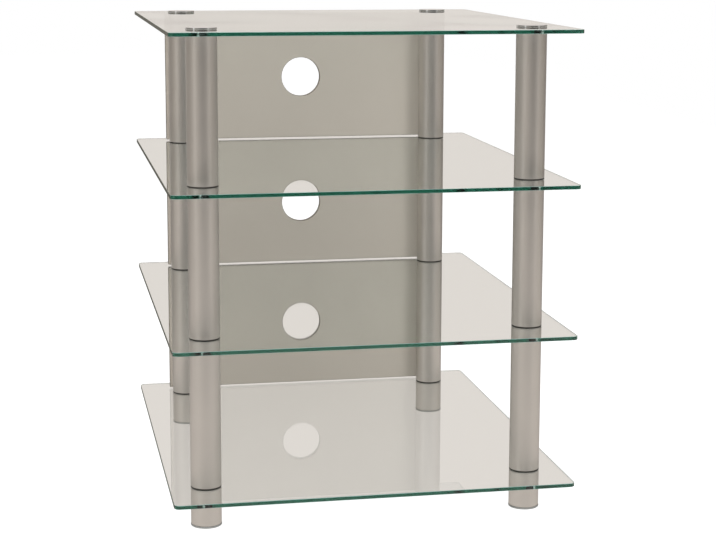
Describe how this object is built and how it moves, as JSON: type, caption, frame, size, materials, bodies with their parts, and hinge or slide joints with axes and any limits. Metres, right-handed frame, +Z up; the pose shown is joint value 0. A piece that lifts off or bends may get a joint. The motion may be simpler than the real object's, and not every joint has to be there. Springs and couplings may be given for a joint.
{
  "type": "audio equipment rack",
  "caption": "Open hi-fi rack: clear tempered-glass shelves on round silver tube posts, with chrome caps, levelling feet and grey rear boards with cable holes.",
  "frame": {"origin": "on the floor, under the middle of the shelves", "axes": "+Z up, +X to the right seen from the front, the front faces -Y and the boards +Y"},
  "size_m": [0.525, 0.62, 0.6465],
  "materials": {
    "clear_glass": "clear tempered float glass with a green tint at its polished edges",
    "silver_lacquer": "satin silver lacquer on metal tube",
    "chrome": "polished chrome",
    "zinc_steel": "zinc-plated steel",
    "dark_plastic": "dark soft plastic, matt",
    "grey_plastic": "grey moulded plastic",
    "grey_board": "satin warm grey lacquer on fibreboard"
  },
  "bodies": {
    "rack": {"shelf_bottom": "clear_glass", "shelf_lower_middle": "clear_glass", "shelf_upper_middle": "clear_glass", "shelf_top": "clear_glass", "foot_front_left": "silver_lacquer", "bush_front_left_lower": "dark_plastic", "tube_front_left_lower": "silver_lacquer", "bush_front_left_middle": "dark_plastic", "tube_front_left_middle": "silver_lacquer", "bush_front_left_upper": "dark_plastic", "tube_front_left_upper": "silver_lacquer", "bush_front_left_top": "dark_plastic", "cap_front_left": "chrome", "tie_rod_front_left": "zinc_steel", "foot_front_right": "silver_lacquer", "bush_front_right_lower": "dark_plastic", "tube_front_right_lower": "silver_lacquer", "bush_front_right_middle": "dark_plastic", "tube_front_right_middle": "silver_lacquer", "bush_front_right_upper": "dark_plastic", "tube_front_right_upper": "silver_lacquer", "bush_front_right_top": "dark_plastic", "cap_front_right": "chrome", "tie_rod_front_right": "zinc_steel", "foot_rear_left": "silver_lacquer", "bush_rear_left_lower": "dark_plastic", "tube_rear_left_lower": "silver_lacquer", "bush_rear_left_middle": "dark_plastic", "tube_rear_left_middle": "silver_lacquer", "bush_rear_left_upper": "dark_plastic", "tube_rear_left_upper": "silver_lacquer", "bush_rear_left_top": "dark_plastic", "cap_rear_left": "chrome", "tie_rod_rear_left": "zinc_steel", "foot_rear_right": "silver_lacquer", "bush_rear_right_lower": "dark_plastic", "tube_rear_right_lower": "silver_lacquer", "bush_rear_right_middle": "dark_plastic", "tube_rear_right_middle": "silver_lacquer", "bush_rear_right_upper": "dark_plastic", "tube_rear_right_upper": "silver_lacquer", "bush_rear_right_top": "dark_plastic", "cap_rear_right": "chrome", "tie_rod_rear_right": "zinc_steel", "rear_panel_lower": "grey_board", "panel_screw_lower_left": "zinc_steel", "panel_screw_lower_right": "zinc_steel", "rear_panel_middle": "grey_board", "panel_screw_middle_left": "zinc_steel", "panel_screw_middle_right": "zinc_steel", "rear_panel_upper": "grey_board", "panel_screw_upper_left": "zinc_steel", "panel_screw_upper_right": "zinc_steel"},
    "front_left_glide": {"glide_front_left": "grey_plastic"},
    "front_right_glide": {"glide_front_right": "grey_plastic"},
    "rear_left_glide": {"glide_rear_left": "grey_plastic"},
    "rear_right_glide": {"glide_rear_right": "grey_plastic"}
  },
  "joints": [
    {"name": "level_front_left", "type": "slide", "parent": "rack", "child": "front_left_glide", "axis": [0, 0, -1], "range_m": [0, 0.008]},
    {"name": "level_front_right", "type": "slide", "parent": "rack", "child": "front_right_glide", "axis": [0, 0, -1], "range_m": [0, 0.008]},
    {"name": "level_rear_left", "type": "slide", "parent": "rack", "child": "rear_left_glide", "axis": [0, 0, -1], "range_m": [0, 0.008]},
    {"name": "level_rear_right", "type": "slide", "parent": "rack", "child": "rear_right_glide", "axis": [0, 0, -1], "range_m": [0, 0.008]}
  ]
}
